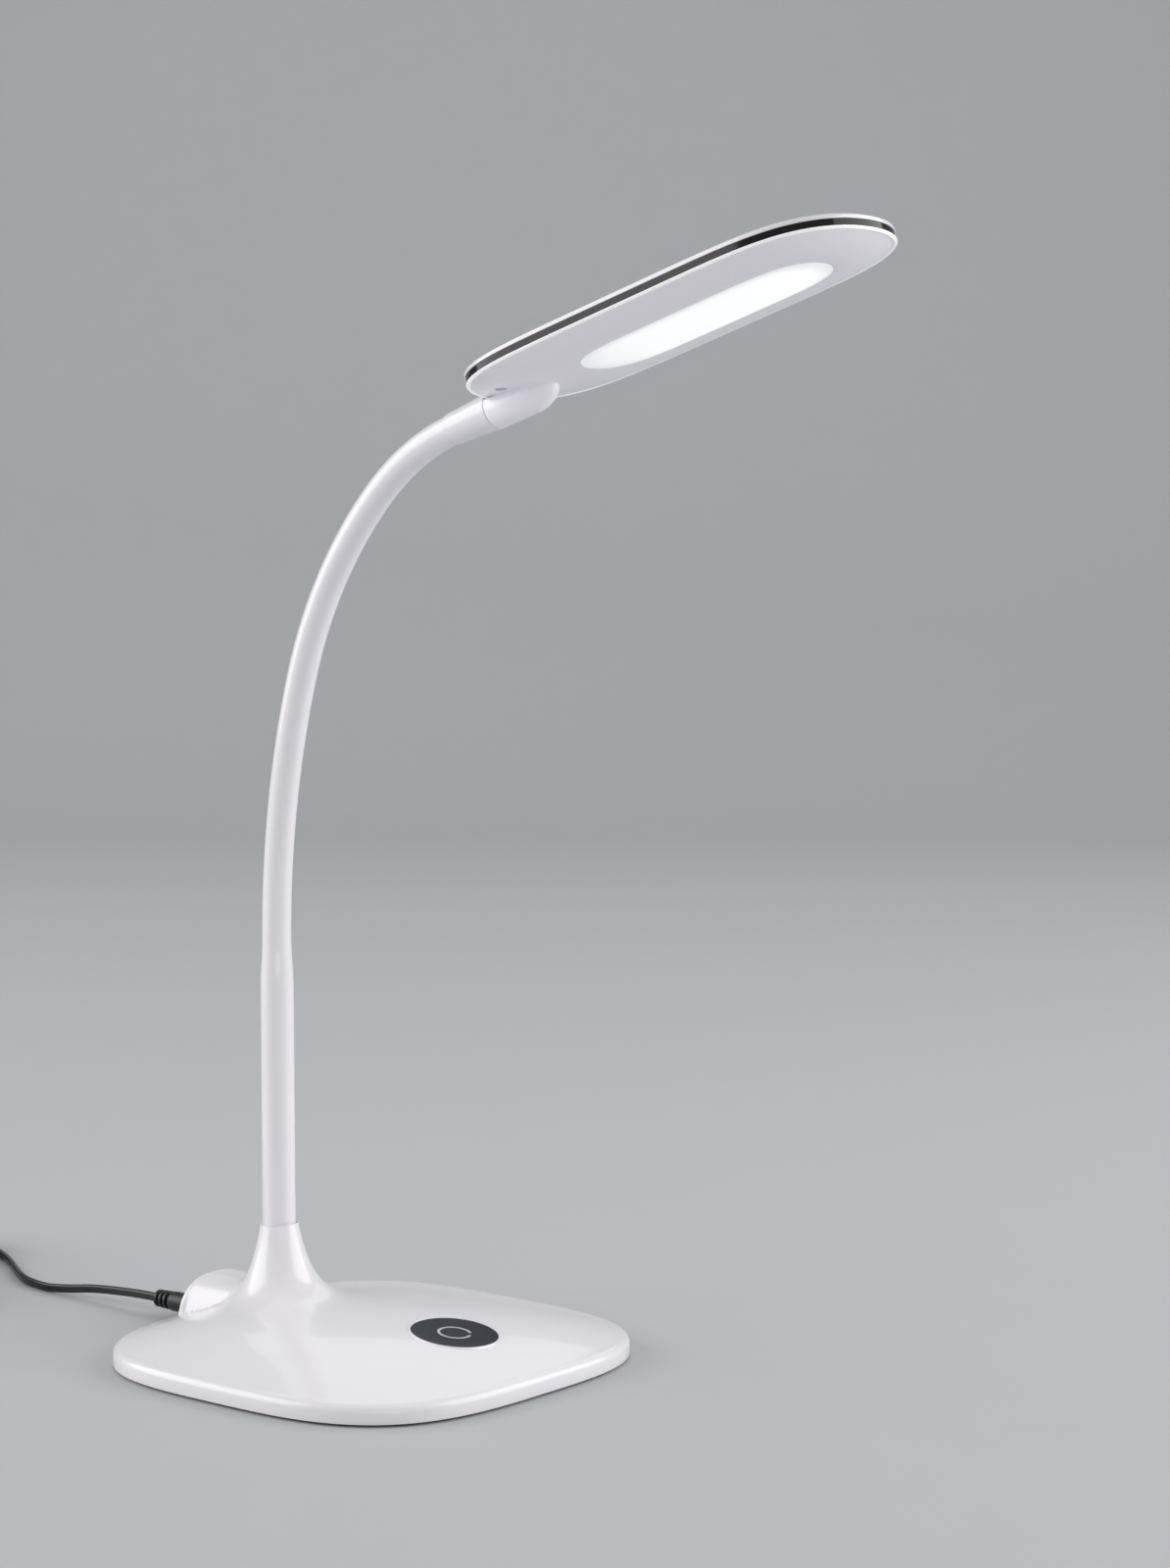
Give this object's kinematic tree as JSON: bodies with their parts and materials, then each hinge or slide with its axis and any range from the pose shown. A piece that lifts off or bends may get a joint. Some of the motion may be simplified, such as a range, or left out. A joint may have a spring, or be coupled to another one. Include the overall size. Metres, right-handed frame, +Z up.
{
  "type": "desk lamp",
  "caption": "Desk lamp with a rounded dished base, a touch disc, a flexible gooseneck that stays where it is bent, and a slim turning head with a flat light window",
  "frame": {"origin": "centre of the resting face, under the middle of the base", "axes": "+X forwards, the way the head points; +Y the lamp's left; +Z up"},
  "size_m": [0.5285, 0.1843, 0.4338],
  "materials": {
    "white_gloss": "polished white",
    "white_satin": "satin white",
    "plate": "moulded",
    "pad": "soft matt",
    "steel": "zinc plated",
    "core_steel": "wound wire",
    "wire_jacket": "smooth",
    "black_lens": "polished slate",
    "ring_mark": "printed grey",
    "circuit_board": "lacquered",
    "black_plastic": "fine texture",
    "black_trim": "polished black",
    "light_window": "translucent white",
    "tray": "reflector white",
    "aluminium": "mill",
    "led": "phosphor",
    "plug_grip": "moulded soft",
    "nickel": "nickel",
    "cord": "smooth black"
  },
  "bodies": {
    "base": {"base_cover": "white_gloss", "base_plate": "plate", "rest_pad": "pad", "ballast_plate": "steel", "plate_screws": "steel", "foot_screws": "steel", "touch_lens": "black_lens", "touch_ring": "ring_mark", "touch_board": "circuit_board", "power_jack": "black_plastic", "driver_board": "circuit_board", "driver_parts": "black_plastic", "board_screws": "steel", "base_leads": "wire_jacket", "foot_tube": "steel", "foot_sleeve": "white_gloss", "foot_core": "core_steel", "foot_lead": "wire_jacket", "dc_plug": "plug_grip", "plug_barrel": "nickel", "cord_run": "cord", "cord_coil": "cord", "adapter_case": "black_plastic", "adapter_lid": "black_plastic", "adapter_pins": "nickel"},
    "link_1": {"neck_core_1": "core_steel", "neck_sleeve_1": "white_gloss", "neck_lead_1": "wire_jacket"},
    "link_2": {"neck_core_2": "core_steel", "neck_sleeve_2": "white_gloss", "neck_lead_2": "wire_jacket"},
    "link_3": {"neck_core_3": "core_steel", "neck_sleeve_3": "white_gloss", "neck_lead_3": "wire_jacket"},
    "link_4": {"neck_core_4": "core_steel", "neck_sleeve_4": "white_gloss", "neck_lead_4": "wire_jacket"},
    "link_5": {"neck_core_5": "core_steel", "neck_sleeve_5": "white_gloss", "neck_lead_5": "wire_jacket"},
    "link_6": {"neck_core_6": "core_steel", "neck_sleeve_6": "white_gloss", "neck_lead_6": "wire_jacket"},
    "link_7": {"neck_core_7": "core_steel", "neck_sleeve_7": "white_gloss", "neck_lead_7": "wire_jacket", "ferrule": "white_gloss", "swivel_pin": "steel", "swivel_clip": "steel"},
    "head": {"head_shell": "white_satin", "trim_band": "black_trim", "top_shell": "white_gloss", "diffuser": "light_window", "light_tray": "tray", "heat_plate": "aluminium", "led_board": "circuit_board", "leds": "led", "shell_screws": "steel", "head_lead": "wire_jacket"}
  },
  "joints": [
    {"name": "nod_1", "type": "hinge", "parent": "base", "child": "link_1", "pos_m": [-0.0495, 0, 0.1603], "axis": [0, 1, 0], "range_deg": [-15, 15]},
    {"name": "sway_2", "type": "hinge", "parent": "link_1", "child": "link_2", "pos_m": [-0.0479, 0, 0.19495], "axis": [0.9957, 0, -0.0924], "range_deg": [-15, 15]},
    {"name": "nod_3", "type": "hinge", "parent": "link_2", "child": "link_3", "pos_m": [-0.0431, 0, 0.22931], "axis": [0, 1, 0], "range_deg": [-15, 15]},
    {"name": "sway_4", "type": "hinge", "parent": "link_3", "child": "link_4", "pos_m": [-0.03515, 0, 0.26307], "axis": [0.9617, 0, -0.274], "range_deg": [-15, 15]},
    {"name": "nod_5", "type": "hinge", "parent": "link_4", "child": "link_5", "pos_m": [-0.01881, 0, 0.30175], "axis": [0, 1, 0], "range_deg": [-15, 15]},
    {"name": "sway_6", "type": "hinge", "parent": "link_5", "child": "link_6", "pos_m": [0.00641, 0, 0.33534], "axis": [0.7206, 0, -0.6934], "range_deg": [-15, 15]},
    {"name": "nod_7", "type": "hinge", "parent": "link_6", "child": "link_7", "pos_m": [0.02431, 0, 0.35001], "axis": [0, 1, 0], "range_deg": [-15, 15]},
    {"name": "head_turn", "type": "hinge", "parent": "link_7", "child": "head", "pos_m": [0.06404, 0, 0.36665], "axis": [0.9449, 0, 0.3272], "range_deg": [-90, 90]}
  ],
  "couplings": [
    {"joint": "nod_3", "follows": "nod_1", "ratio": 1},
    {"joint": "nod_5", "follows": "nod_1", "ratio": 1},
    {"joint": "nod_7", "follows": "nod_1", "ratio": 1},
    {"joint": "sway_4", "follows": "sway_2", "ratio": 1},
    {"joint": "sway_6", "follows": "sway_2", "ratio": 1}
  ]
}
